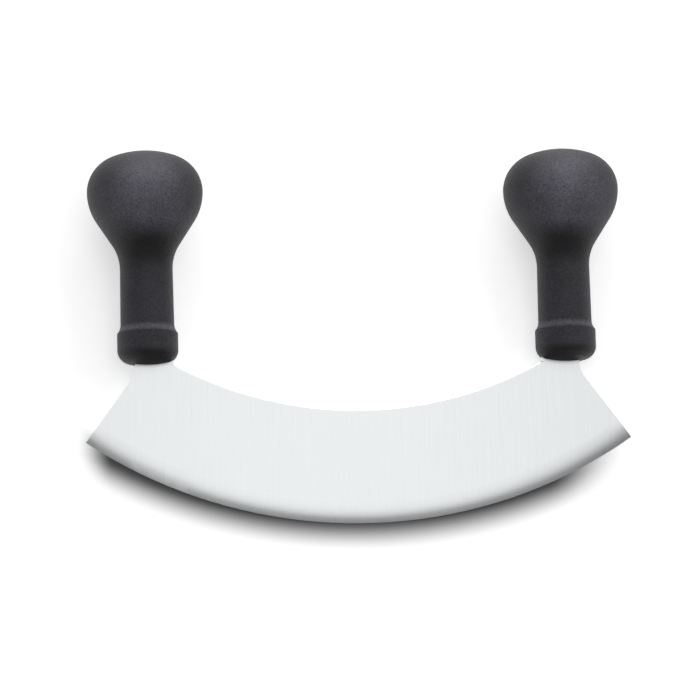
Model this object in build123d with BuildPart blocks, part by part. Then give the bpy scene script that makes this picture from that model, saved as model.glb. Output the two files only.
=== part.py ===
from build123d import *
import os
from math import asin, atan2, cos, degrees, hypot, radians, sin, sqrt, tan

# Mezzaluna: a crescent blade with two upright tangs, each inside a moulded knob handle.
# Millimetres. The knife lies flat on a table as it is laid down after use: both knobs and
# the middle of the cutting edge touch z = 0. Everything is drawn on the knife's own middle
# plane, where v = 0 is the foot of the handles, v points to the knobs and u along the blade.

# Blade
blade_length = 230.0
blade_width = 47.8
blade_thickness = 2.2
edge_radius = 205.3
edge_drop = 67.8
bevel_width = 8.5
edge_thickness = 0.25
end_corner_drop = 4.0
end_corner_setback = 2.6
broken_edge = 0.3

# Root and tang, measured from the handle's axis
handle_inset = 26.6
root_outer_reach = 5.5
root_inner_reach = 10.5
root_depth = 6.0
tang_thickness = 2.5
tang_width = 9.0
tang_setback = 12.0
tang_corner_radius = 2.5

# Knob handle, outside
handle_height = 91.0
crown_radius = 40.0
knob_shoulder_radius = 15.5
knob_radius = 24.4
knob_belly_radius = 23.0
flank_slant = 33.0
neck_blend_radius = 19.0
neck_top_radius = 11.1
neck_foot_radius = 11.3
collar_radius = 12.8
collar_top_height = 13.3
collar_shoulder_radius = 5.8
foot_corner_radius = 5.5
foot_dome_radius = 40.0

# Moulded core under the grip
grip_wall = 3.6
core_barrel_radius = 17.5
core_barrel_length = 9.0
core_crown_radius = 9.0
core_crown_wall = 6.5
groove_count = 3
groove_width = 3.0
groove_depth = 0.8

# Pins through core and tang
pin_radius = 1.6
pin_inset = 0.3

# Fits and overruns
tang_clearance = 0.1
pin_clearance = 0.02
moulding_clearance = 0.02
overrun = 1.0

# Knob outline: angles and heights of its tangent arcs
crown_angle = asin((knob_radius - knob_shoulder_radius) / (crown_radius - knob_shoulder_radius))
knob_widest_height = handle_height - crown_radius + (crown_radius - knob_shoulder_radius) * cos(crown_angle)
flank_angle = radians(flank_slant)
flank_arcs = knob_belly_radius + neck_blend_radius
flank_drop = knob_radius - neck_top_radius - flank_arcs * (1 - cos(flank_angle))
flank_length = flank_drop / sin(flank_angle)
knob_foot_height = knob_widest_height - flank_arcs * sin(flank_angle) - flank_length * cos(flank_angle)

# Collar outline
collar_step = collar_radius - neck_foot_radius
collar_shoulder_height = sqrt(collar_shoulder_radius**2 - (collar_shoulder_radius - collar_step) ** 2)
neck_foot_height = collar_top_height + collar_shoulder_height
foot_angle = asin((collar_radius - foot_corner_radius) / (foot_dome_radius - foot_corner_radius))

# Blade outline: the edge arc between the tips, the spine arc between the roots
half_length = blade_length / 2
handle_offset = half_length - handle_inset
root_outer = handle_offset + root_outer_reach
root_inner = handle_offset - root_inner_reach
root_width = root_outer_reach + root_inner_reach
tang_top_height = knob_widest_height - tang_setback
edge_centre_height = edge_radius - edge_drop
tip_angle = asin(half_length / edge_radius)
tip_height = edge_centre_height - edge_radius * cos(tip_angle)
spine_height = blade_width - edge_drop
end_slant = atan2(half_length - root_outer, -end_corner_drop - tip_height)
end_corner_radius = end_corner_setback / tan(end_slant / 2)

# Core outline: a wall's thickness inside the neck
core_neck_radius = neck_top_radius - grip_wall

# Grooves share the neck of the core evenly, with a pin half way between each two of them
groove_pitch = (knob_foot_height - root_depth) / (groove_count + 1)
groove_heights = [root_depth + groove_pitch * (index + 1) for index in range(groove_count)]
pin_heights = [height + groove_pitch / 2 for height in groove_heights[:-1]]

# Resting attitude: the table is the common tangent of the cutting edge and the knobs' bellies
belly_centre_radius = knob_radius - knob_belly_radius
belly_rise = belly_centre_radius - edge_thickness / 2
belly_run = knob_widest_height + edge_drop
tilt = atan2(belly_rise, belly_run) + asin(knob_belly_radius / hypot(belly_rise, belly_run))
near_reach = -edge_drop * cos(tilt) - edge_thickness / 2 * sin(tilt)
far_reach = (handle_height - crown_radius) * cos(tilt) + crown_radius
plane_y = -(near_reach + far_reach) / 2
plane_z = edge_drop * sin(tilt) + edge_thickness / 2 * cos(tilt)

knife_plane = Plane(origin=(0, plane_y, plane_z), x_dir=(1, 0, 0), z_dir=(0, -sin(tilt), cos(tilt)))


def handle_plane(side):
    """The middle plane with its origin at one handle's foot and x pointing away from the other."""
    origin = knife_plane.from_local_coords((side * handle_offset, 0, 0))
    return Plane(origin=origin, x_dir=knife_plane.x_dir * side, z_dir=knife_plane.z_dir * side)


def knob_outline():
    """Half outline of knob and neck, from the crown down. Returns the foot of the neck."""
    crown = JernArc(
        start=(0, handle_height),
        tangent=(1, 0),
        radius=crown_radius,
        arc_size=-degrees(crown_angle),
    )
    shoulder = JernArc(
        start=crown @ 1,
        tangent=crown % 1,
        radius=knob_shoulder_radius,
        arc_size=-90 + degrees(crown_angle),
    )
    belly = JernArc(
        start=shoulder @ 1,
        tangent=shoulder % 1,
        radius=knob_belly_radius,
        arc_size=-flank_slant,
    )
    flank = Line(belly @ 1, belly @ 1 + (belly % 1) * flank_length)
    blend = JernArc(
        start=flank @ 1,
        tangent=flank % 1,
        radius=neck_blend_radius,
        arc_size=flank_slant,
    )
    neck = Line(blend @ 1, (neck_foot_radius, neck_foot_height))
    return neck @ 1


def collar_outline(neck_foot):
    """Half outline of the collar: rounded shoulder, straight side, rounded corner, domed foot."""
    dome = JernArc(
        start=(0, 0),
        tangent=(1, 0),
        radius=foot_dome_radius,
        arc_size=degrees(foot_angle),
    )
    corner = JernArc(
        start=dome @ 1,
        tangent=dome % 1,
        radius=foot_corner_radius,
        arc_size=90 - degrees(foot_angle),
    )
    side = Line(corner @ 1, (collar_radius, collar_top_height))
    RadiusArc(side @ 1, neck_foot, collar_shoulder_radius)


def core_outline(growth):
    """Half outline of the core, a sleeve with a barrel in the knob, grown by a clearance."""
    Polyline(
        (0, root_depth - growth),
        (core_neck_radius + growth, root_depth - growth),
        (core_neck_radius + growth, knob_foot_height),
        (core_barrel_radius + growth, knob_widest_height - core_barrel_length / 2),
        (core_barrel_radius + growth, knob_widest_height + core_barrel_length / 2),
        (core_crown_radius + growth, handle_height - core_crown_wall + growth),
        (0, handle_height - core_crown_wall + growth),
        (0, root_depth - growth),
    )


def cut_ring_grooves(growth):
    """Grooves round the neck of the core, which lock the grip on it."""
    with Locations(*[(core_neck_radius, height) for height in groove_heights]):
        Rectangle(2 * (groove_depth - growth), groove_width - 2 * growth, mode=Mode.SUBTRACT)


os.makedirs("parts", exist_ok=True)

# Blade: one plate, ground thinner than its two tangs and bevelled on both faces along the arc
with BuildPart() as blade:
    with BuildSketch(knife_plane) as blade_outline:
        with BuildLine():
            edge_arc = CenterArc(
                center=(0, edge_centre_height),
                radius=edge_radius,
                start_angle=-90 - degrees(tip_angle),
                arc_size=2 * degrees(tip_angle),
            )
            spine_arc = SagittaArc((-root_inner, 0), (root_inner, 0), spine_height)
            for side in (-1, 1):
                Polyline(
                    (side * half_length, tip_height),
                    (side * root_outer, -end_corner_drop),
                    (side * root_outer, 0),
                    (side * root_inner, 0),
                )
        make_face()
        for side in (-1, 1):
            end_corner = (side * root_outer, -end_corner_drop)
            fillet(
                blade_outline.vertices().sort_by_distance(end_corner)[0],
                radius=end_corner_radius,
            )
    extrude(amount=blade_thickness / 2, both=True)

    with BuildSketch(knife_plane) as tangs:
        with Locations((-handle_offset, 0), (handle_offset, 0)):
            Rectangle(tang_width, tang_top_height, align=(Align.CENTER, Align.MIN))
        fillet(tangs.vertices().group_by(Axis.Y)[-1], radius=tang_corner_radius)
        for side in (-1, 1):
            with Locations((side * (root_outer + root_inner) / 2, 0)):
                Rectangle(root_width, root_depth, align=(Align.CENTER, Align.MIN))
        with Locations(*[(side * handle_offset, height) for side in (-1, 1) for height in pin_heights]):
            Circle(pin_radius + pin_clearance, mode=Mode.SUBTRACT)
    extrude(amount=tang_thickness / 2, both=True)

    edge_centre = knife_plane.from_local_coords((0, edge_centre_height, 0))
    with BuildSketch(Plane(edge_centre, x_dir=-knife_plane.y_dir, z_dir=knife_plane.x_dir)):
        with BuildLine():
            bevel_top = (edge_radius - bevel_width, blade_thickness / 2)
            grind = TangentArc(bevel_top, (edge_radius, edge_thickness / 2), tangent=(1, 0))
            Polyline(
                grind @ 1,
                (edge_radius + overrun, edge_thickness / 2),
                (edge_radius + overrun, blade_thickness / 2 + overrun),
                (edge_radius - bevel_width, blade_thickness / 2 + overrun),
                grind @ 0,
            )
        make_face()
        mirror(about=Plane.XZ)
    revolve(axis=Axis(edge_centre, knife_plane.z_dir), mode=Mode.SUBTRACT)

    # The back of the hand can touch the spine, so its two edges are broken
    spine_middle = knife_plane.from_local_coords((0, spine_height, 0))
    chamfer(blade.edges().sort_by_distance(spine_middle)[:2], length=broken_edge)
blade.part.label = "blade"
export_step(blade.part, "parts/blade.step")

for side, name in ((-1, "left"), (1, "right")):
    plane = handle_plane(side)
    handle_axis = Axis(plane.origin, plane.y_dir)
    root_centre = (root_outer_reach - root_inner_reach) / 2
    root_top = root_depth + tang_clearance

    # Core: moulded first, slid over the tang until its foot stands on the blade's shoulder
    with BuildPart() as core:
        with BuildSketch(plane):
            with BuildLine():
                core_outline(0)
            make_face()
            cut_ring_grooves(0)
        revolve(axis=handle_axis)
        with BuildSketch(plane):
            slot_top = tang_top_height + tang_clearance
            slot_foot = root_depth - overrun
            with Locations((0, (slot_top + slot_foot) / 2)):
                Rectangle(tang_width + 2 * tang_clearance, slot_top - slot_foot)
        extrude(amount=tang_thickness / 2 + tang_clearance, both=True, mode=Mode.SUBTRACT)
        with BuildSketch(plane):
            with Locations(*[(0, height) for height in pin_heights]):
                Circle(pin_radius + pin_clearance)
        extrude(amount=neck_foot_radius, both=True, mode=Mode.SUBTRACT)
    core.part.label = f"{name}_core"
    export_step(core.part, f"parts/{name}_core.step")

    # Pins: pressed through core and tang, sunk below the grooves, and covered by the grip
    with BuildPart() as pins:
        with BuildSketch(plane):
            with Locations(*[(0, height) for height in pin_heights]):
                Circle(pin_radius)
        extrude(amount=core_neck_radius - groove_depth - pin_inset, both=True)
    pins.part.label = f"{name}_tang_pins"
    export_step(pins.part, f"parts/{name}_tang_pins.step")

    # Grip: the visible handle, moulded over the core and round the root of the blade
    with BuildPart() as grip:
        with BuildSketch(plane):
            with BuildLine():
                collar_outline(knob_outline())
                Line((0, 0), (0, handle_height))
            make_face()
        revolve(axis=handle_axis)
        with BuildSketch(plane):
            with BuildLine():
                core_outline(moulding_clearance)
            make_face()
            cut_ring_grooves(moulding_clearance)
        revolve(axis=handle_axis, mode=Mode.SUBTRACT)
        with BuildSketch(plane):
            with Locations((root_centre, (root_top - overrun) / 2)):
                Rectangle(root_width + 2 * tang_clearance, root_top + overrun)
        extrude(amount=tang_thickness / 2 + tang_clearance, both=True, mode=Mode.SUBTRACT)
    grip.part.label = f"{name}_grip"
    export_step(grip.part, f"parts/{name}_grip.step")

print("tilt", round(degrees(tilt), 3), "flank", round(flank_length, 3))
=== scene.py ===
# %% [markdown]
# # A two-handled rocking knife
# The solids of the knife come from the construction model, in metres, lying on a table at z = 0.
# A rocking knife is a crescent of ground steel with an upright moulded knob at each end.
# This script gives the solids their surfaces, then sets table, light and camera round them.

# %% Load the solids and keep their size
import bpy
from math import cos, pi, radians, sin
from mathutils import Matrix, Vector

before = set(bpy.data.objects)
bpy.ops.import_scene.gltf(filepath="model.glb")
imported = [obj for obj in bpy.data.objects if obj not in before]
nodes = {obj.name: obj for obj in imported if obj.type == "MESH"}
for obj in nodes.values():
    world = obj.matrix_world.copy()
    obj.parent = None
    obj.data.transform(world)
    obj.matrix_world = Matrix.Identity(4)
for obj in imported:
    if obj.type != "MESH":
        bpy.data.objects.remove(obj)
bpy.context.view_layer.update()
for name in sorted(nodes):
    print("node", name, len(nodes[name].data.polygons), "faces")

# %% [markdown]
# ## Shader sums written as sums
# Grain, scratches and moulding texture are small sums of patterns. Written node by node they are
# hard to read, so this class wraps one socket and lets +, -, * and / build the math nodes.
# `other` adds any other kind of node, with its inputs given by name or by number, and `noise`
# and `mixed` add the two kinds that every finish here needs.

# %% A socket that can be added and multiplied
class Value:
    def __init__(self, tree, socket):
        self.tree = tree
        self.socket = socket

    def math(self, operation, *others):
        node = self.tree.nodes.new("ShaderNodeMath")
        node.operation = operation
        for index, item in enumerate((self, *others)):
            plug(self.tree, node.inputs[index], item)
        return Value(self.tree, node.outputs[0])

    def __add__(self, other):
        return self.math("ADD", other)

    def __radd__(self, other):
        return self.math("ADD", other)

    def __sub__(self, other):
        return self.math("SUBTRACT", other)

    def __rsub__(self, other):
        return (self * -1).math("ADD", other)

    def __mul__(self, other):
        return self.math("MULTIPLY", other)

    def __truediv__(self, other):
        return self.math("DIVIDE", other)

    def __pow__(self, other):
        return self.math("POWER", other)

    def steps(self, start, end):
        """0 below start, 1 above end, and a smooth rise between them."""
        inputs = {0: self, 1: start, 2: end}
        return self.other("ShaderNodeMapRange", inputs, interpolation_type="SMOOTHSTEP")

    def other(self, kind, inputs, output=0, **settings):
        """The chosen output of a new node of this kind, with its inputs filled."""
        node = self.tree.nodes.new(kind)
        for key, value in settings.items():
            setattr(node, key, value)
        for key, value in inputs.items():
            plug(self.tree, node.inputs[key], value)
        return Value(self.tree, node.outputs[output])


def plug(tree, socket, item):
    """Links a Value to a socket, or sets a plain number or colour on it."""
    if isinstance(item, Value):
        tree.links.new(item.socket, socket)
    else:
        socket.default_value = item


def noise(vector, **inputs):
    """A noise pattern laid out by vector. Scale, Detail and Roughness are given by name."""
    return vector.other("ShaderNodeTexNoise", {"Vector": vector, **inputs})


def mixed(factor, low, high):
    """The colour low where factor is 0, high where it is 1, and between them in between."""
    return factor.other("ShaderNodeMix", {0: factor, 6: low, 7: high}, output=2, data_type="RGBA")


def new_material(name):
    """A new material with its Principled shader and the place on the surface as a Value."""
    material = bpy.data.materials.new(name)
    material.use_nodes = True
    tree = material.node_tree
    shader = tree.nodes["Principled BSDF"]
    place = tree.nodes.new("ShaderNodeTexCoord")
    return material, shader, Value(tree, place.outputs["Object"])


print("sums ready")

# %% [markdown]
# ## Where the knife's own directions lie
# The knife lies tilted: its edge and its knobs touch the table. Grinding marks follow the knife,
# not the table, so the shader first turns a place on the surface into knife coordinates.
# Along runs from end to end, up runs from the edge to the knobs, and face goes through the plate.

# %% Knife coordinates for the shaders
TILT_DEGREES = 9.8616
TILT = radians(TILT_DEGREES)
PLANE_Y = -0.011713
PLANE_Z = 0.011735


def split_of(place):
    """A node that parts a point into its x, y and z."""
    split = place.tree.nodes.new("ShaderNodeSeparateXYZ")
    plug(place.tree, split.inputs[0], place)
    return split


def knife_coordinates(place):
    """Along, up and face coordinates of a point, in metres."""
    x, y, z = [Value(place.tree, out) for out in split_of(place).outputs]
    up = (y - PLANE_Y) * cos(TILT) + (z - PLANE_Z) * sin(TILT)
    face = (z - PLANE_Z) * cos(TILT) - (y - PLANE_Y) * sin(TILT)
    return x, up, face


def joined(x, y, z):
    """Three Values joined into a vector."""
    return x.other("ShaderNodeCombineXYZ", {0: x, 1: y, 2: z})


print("tilt in degrees", TILT_DEGREES)

# %% [markdown]
# ## Ground steel
# The plate is satin ground across its width, which leaves fine marks that run from edge to spine.
# They scatter light sideways, so the plate looks evenly bright. Along the edge a bevel is ground
# and polished finer: it shows the darker room beside the lamp, and darkens towards the edge.
# The marks are noise stretched a hundred times along the grinding direction.

# %% The blade's material
EDGE_CENTRE = 0.1375
EDGE_RADIUS = 0.2053
BEVEL_START = 0.1968
STEEL_ROUGHNESS = 0.31
MARK_HEIGHT = 0.00002
DULL_STEEL = (0.79, 0.81, 0.815, 1)
BRIGHT_STEEL = (0.85, 0.87, 0.875, 1)

steel, shader, place = new_material("ground_steel")
along, up, face = knife_coordinates(place)
reach = (along * along + (up - EDGE_CENTRE) ** 2) ** 0.5
bevel = reach.steps(BEVEL_START - 0.0001, BEVEL_START + 0.0002)
fine_lines = joined(along * 9000, up * 60, face * 400)
wide_lines = joined(along * 1400, up * 12, face * 400)
fine = noise(fine_lines, Scale=1.0, Detail=3.0)
wide = noise(wide_lines, Scale=1.0, Detail=2.0)
marks = fine * 0.65 + wide * 0.35
rough = STEEL_ROUGHNESS + (wide - 0.5) * 0.06 + (fine - 0.5) * 0.06 - bevel * 0.015
plug(place.tree, shader.inputs["Roughness"], rough)
tint = mixed(marks.steps(0.3, 0.7), DULL_STEEL, BRIGHT_STEEL)
plug(place.tree, shader.inputs["Base Color"], tint)
shader.inputs["Metallic"].default_value = 1.0
height = marks * (1 - bevel * 0.6)
relief = {"Height": height, "Strength": 0.25, "Distance": MARK_HEIGHT}
bump = place.other("ShaderNodeBump", relief)
plug(place.tree, shader.inputs["Normal"], bump)
print("steel nodes", len(steel.node_tree.nodes))

# %% [markdown]
# ## Black moulded plastic
# The grips come out of a spark-eroded mould, which leaves a fine even grain. It is what makes
# the black look soft and grey under the lamp. Two noises make it: one for the grain itself and a
# slower one for the slight unevenness of a big moulding. A painted highlight makes the black
# paler on the middle of each knob and, a little, on the step above the collar. Painted shade
# makes the knob's sides, the waist under it and the domed foot a deeper black than the neck and
# collar. `middle` is the distance from the painted highlight's centre, seen square to the blade's
# flat.

# %% The grips' material
KNOB_ALONG = 0.0889
KNOB_UP = 0.0665
GRAIN_SCALE = 1150.0
GRAIN_HEIGHT = 0.00035
PLASTIC_ROUGHNESS = 0.58

plastic, shader, place = new_material("black_plastic")
grain = noise(place, Scale=GRAIN_SCALE, Detail=4.0, Roughness=0.7)
cloud = noise(place, Scale=90.0, Detail=3.0)
rough = PLASTIC_ROUGHNESS + (grain - 0.5) * 0.16 + (cloud - 0.5) * 0.06
plug(place.tree, shader.inputs["Roughness"], rough)
speckle = (grain * 0.75 + cloud * 0.25).steps(0.35, 0.65)
# The darkest colour is painted shade for the domed foot, the waist under the knob and the knob's
# sides.
painted_shade_black = mixed(speckle, (0.004, 0.0038, 0.005, 1), (0.012, 0.0115, 0.015, 1))
moulded = mixed(speckle, (0.019, 0.0183, 0.0233, 1), (0.052, 0.05, 0.0645, 1))
# The palest colour is a painted highlight on the knob's middle and on the step above the collar.
painted_highlight = mixed(speckle, (0.09, 0.0885, 0.107, 1), (0.219, 0.2145, 0.2605, 1))
along, up, face = knife_coordinates(place)
off = along.math("ABSOLUTE") - KNOB_ALONG
middle = (off * off + (up - KNOB_UP) ** 2) ** 0.5
# Masks of the painted highlight: the knob's middle, and a thin ring on the step above the collar.
knob_highlight = up.steps(0.050, 0.060) * (1 - middle.steps(0.006, 0.027))
step_highlight = up.steps(0.0128, 0.0148) * (1 - up.steps(0.0148, 0.0170)) * 0.55
# The neck and collar keep the plain moulded black. Painted shade darkens the rest of the grip.
unshaded_neck = up.steps(0.003, 0.007) * (1 - up.steps(0.037, 0.046))
black = mixed(unshaded_neck, painted_shade_black, moulded)
plug(place.tree, shader.inputs["Base Color"], mixed(knob_highlight + step_highlight, black, painted_highlight))
relief = {"Height": grain, "Strength": 0.9, "Distance": GRAIN_HEIGHT}
bump = place.other("ShaderNodeBump", relief)
plug(place.tree, shader.inputs["Normal"], bump)
shader.inputs["Specular IOR Level"].default_value = 0.5
print("plastic nodes", len(plastic.node_tree.nodes))

# %% [markdown]
# ## The hidden pieces
# Inside each grip are an undyed core and two wire pins. Nobody sees them in the picture, but a
# cut-away view would, so they get plain finishes of their own.

# %% Core and pin materials
undyed, shader, place = new_material("undyed_plastic")
flow = noise(place, Scale=120.0, Detail=3.0)
colour = mixed(flow, (0.42, 0.40, 0.34, 1), (0.52, 0.50, 0.44, 1))
plug(place.tree, shader.inputs["Base Color"], colour)
plug(place.tree, shader.inputs["Roughness"], 0.45 + (flow - 0.5) * 0.2)

wire, shader, place = new_material("drawn_wire")
streak = noise(place, Scale=900.0, Detail=2.0)
plug(place.tree, shader.inputs["Roughness"], 0.3 + (streak - 0.5) * 0.2)
shader.inputs["Base Color"].default_value = (0.6, 0.6, 0.6, 1)
shader.inputs["Metallic"].default_value = 1.0

print("hidden finishes", undyed.name, wire.name)

# %% [markdown]
# ## A finish for every piece
# The pieces keep the meshes and slots of the construction model. Only the material in each slot
# is exchanged, so the shapes stay as they were built.

# %% Hand the finishes out
finishes = {"blade": steel}
for side in ("left", "right"):
    finishes[side + "_grip"] = plastic
    finishes[side + "_core"] = undyed
    finishes[side + "_tang_pins"] = wire
for name, finish in finishes.items():
    piece = nodes[name]
    for index in range(len(piece.material_slots)):
        piece.material_slots[index].material = finish
    print(name, "takes", finish.name, len(piece.material_slots))

# %% [markdown]
# ## Table
# The knife lies on plain white that burns out to white in the picture, so only the shadow is
# left. A little emission lifts the table to white, and more of it far off, where the lamps fade.
# Under a sharp edge a real table shows a narrow dark band. The edge touches the table here and
# the lamps are too soft to draw it, so `contact` paints that band just in front of the edge,
# between the tips. The camera and every reflection see the white table. The light that it
# throws back on the knife comes from a dimmer one, or it would wash out the black.

# %% White table
SHOWN_TO = ("Is Camera Ray", "Is Glossy Ray", "Is Transmission Ray")
TABLE_SIZE = 6.0
TABLE_BOUNCE = 0.3
NEAR_GLOW = 0.54
FAR_GLOW = 0.51
BAND_DEPTH = 0.93


def grey(value):
    """A grey of the brightness that value gives."""
    return value.other("ShaderNodeCombineColor", {0: value, 1: value, 2: value})


bpy.ops.object.select_all(action="DESELECT")
bpy.ops.mesh.primitive_plane_add(size=TABLE_SIZE, location=(0, 0, 0))
table = bpy.context.object
table.name = "table"
white, shader, place = new_material("white_table")
x, y, z = [Value(place.tree, out) for out in split_of(place).outputs]
up = (y - PLANE_Y) / cos(TILT)
beyond = (x * x + (up - EDGE_CENTRE) ** 2) ** 0.5 - EDGE_RADIUS
front = 1 - y.steps(-0.04, -0.02)
between_tips = x.steps(-0.119, -0.104) * (1 - x.steps(0.08, 0.116))
contact = (1 - beyond.steps(-0.001, 0.0138)) * beyond.steps(-0.010, -0.003)
shade = 1 - contact * front * between_tips * BAND_DEPTH
far = ((x * x + y * y) ** 0.5).steps(0.13, 0.9)
glow = shade * (NEAR_GLOW + far * FAR_GLOW)
plug(place.tree, shader.inputs["Base Color"], grey(shade * 0.95))
plug(place.tree, shader.inputs["Emission Color"], grey(glow))
shader.inputs["Roughness"].default_value = 0.9
shader.inputs["Emission Strength"].default_value = 1.0
shader.inputs["Specular IOR Level"].default_value = 0.0
tree = white.node_tree
bounce = tree.nodes.new("ShaderNodeBsdfDiffuse")
bounce.inputs[0].default_value = (TABLE_BOUNCE, TABLE_BOUNCE, TABLE_BOUNCE, 1)
seen = tree.nodes.new("ShaderNodeLightPath")
chosen = tree.nodes.new("ShaderNodeMixShader")
rays = [Value(tree, seen.outputs[kind]) for kind in SHOWN_TO]
plug(tree, chosen.inputs[0], rays[0] + rays[1] + rays[2])
tree.links.new(bounce.outputs[0], chosen.inputs[1])
tree.links.new(shader.outputs[0], chosen.inputs[2])
tree.links.new(chosen.outputs[0], tree.nodes["Material Output"].inputs[0])
table.data.materials.append(white)

print("table", tuple(round(v, 2) for v in table.dimensions), "nodes", len(tree.nodes))

# %% [markdown]
# ## Room
# The room is white to the camera alone. Steel and plastic mirror a dark one, as in a studio with
# black cloth round the lamps. In a white room the blade would be white from edge to spine, and
# the bevel wouldn't show.

# %% White to look at, dark to mirror
world = bpy.data.worlds.new("room")
bpy.context.scene.world = world
world.use_nodes = True
tree = world.node_tree
room = tree.nodes["Background"]
room.inputs[0].default_value = (0.09, 0.09, 0.095, 1)
room.inputs[1].default_value = 1.0
seen = tree.nodes.new("ShaderNodeBackground")
seen.inputs[0].default_value = (1, 1, 1, 1)
mixer = tree.nodes.new("ShaderNodeMixShader")
path = tree.nodes.new("ShaderNodeLightPath")
tree.links.new(path.outputs["Is Camera Ray"], mixer.inputs[0])
tree.links.new(room.outputs[0], mixer.inputs[1])
tree.links.new(seen.outputs[0], mixer.inputs[2])
tree.links.new(mixer.outputs[0], tree.nodes["World Output"].inputs[0])
print("room nodes", len(tree.nodes))

# %% [markdown]
# ## Studio light
# The first lamp hangs where the flat of the blade mirrors it into the camera, so the blade shows
# bright. Its far end is where the bevel starts to mirror the dark room. A wide lamp behind the
# knobs gives their tops a soft sheen, and a low one behind it keeps the upper rims grey.
# Two small side lamps round the grips. The right one is stronger: it lays the soft shadow to
# the left of each grip. Radiance, not power, is given, because a mirror shows just that.

# %% Five soft lamps
def soft_lamp(name, place, aim, width, depth, radiance):
    """A rectangular lamp that shows this radiance to whatever mirrors it."""
    bpy.ops.object.select_all(action="DESELECT")
    bpy.ops.object.light_add(type="AREA", location=place)
    lamp = bpy.context.object
    lamp.name = name
    lamp.data.shape = "RECTANGLE"
    lamp.data.size = width
    lamp.data.size_y = depth
    lamp.data.energy = radiance * pi * width * depth
    direction = Vector(aim) - Vector(place)
    lamp.rotation_euler = direction.to_track_quat("-Z", "Y").to_euler()
    lamp.visible_camera = False
    print(name, "watts", round(lamp.data.energy, 2))
    return lamp


soft_lamp("overhead", (0.12, -0.16, 1.44), (0.12, -0.16, 0), 0.80, 0.86, 1.17)
soft_lamp("behind_high", (0, 1.15, 1.35), (0, 0.1, 0), 2.0, 1.7, 1.0)
soft_lamp("behind_low", (0.1, 1.85, 0.42), (0, 0, 0), 1.8, 0.5, 5.5)
soft_lamp("left", (-1.6, -0.05, 0.75), (0, 0, 0), 1.0, 0.8, 0.9)
soft_lamp("right", (1.15, 0.25, 1.0), (0, 0.05, 0), 0.7, 0.7, 2.3)

# %% [markdown]
# ## Camera
# The picture was taken from above the blade, a little to the left, with a long lens: both knobs
# look alike and the crescent keeps its true shape.

# %% Long lens
bpy.ops.object.select_all(action="DESELECT")
bpy.ops.object.camera_add(location=(-0.21124, -0.66742, 1.88918))
camera = bpy.context.object
camera.rotation_euler = (radians(19.559), radians(-5.453), radians(-2.48))
camera.data.lens = 244.59
camera.data.sensor_width = 36.0
camera.data.clip_end = 20.0
bpy.context.scene.camera = camera
bpy.context.scene.view_settings.view_transform = "Standard"
print("camera height in m", round(camera.location.z, 3), "lens", round(camera.data.lens, 1))
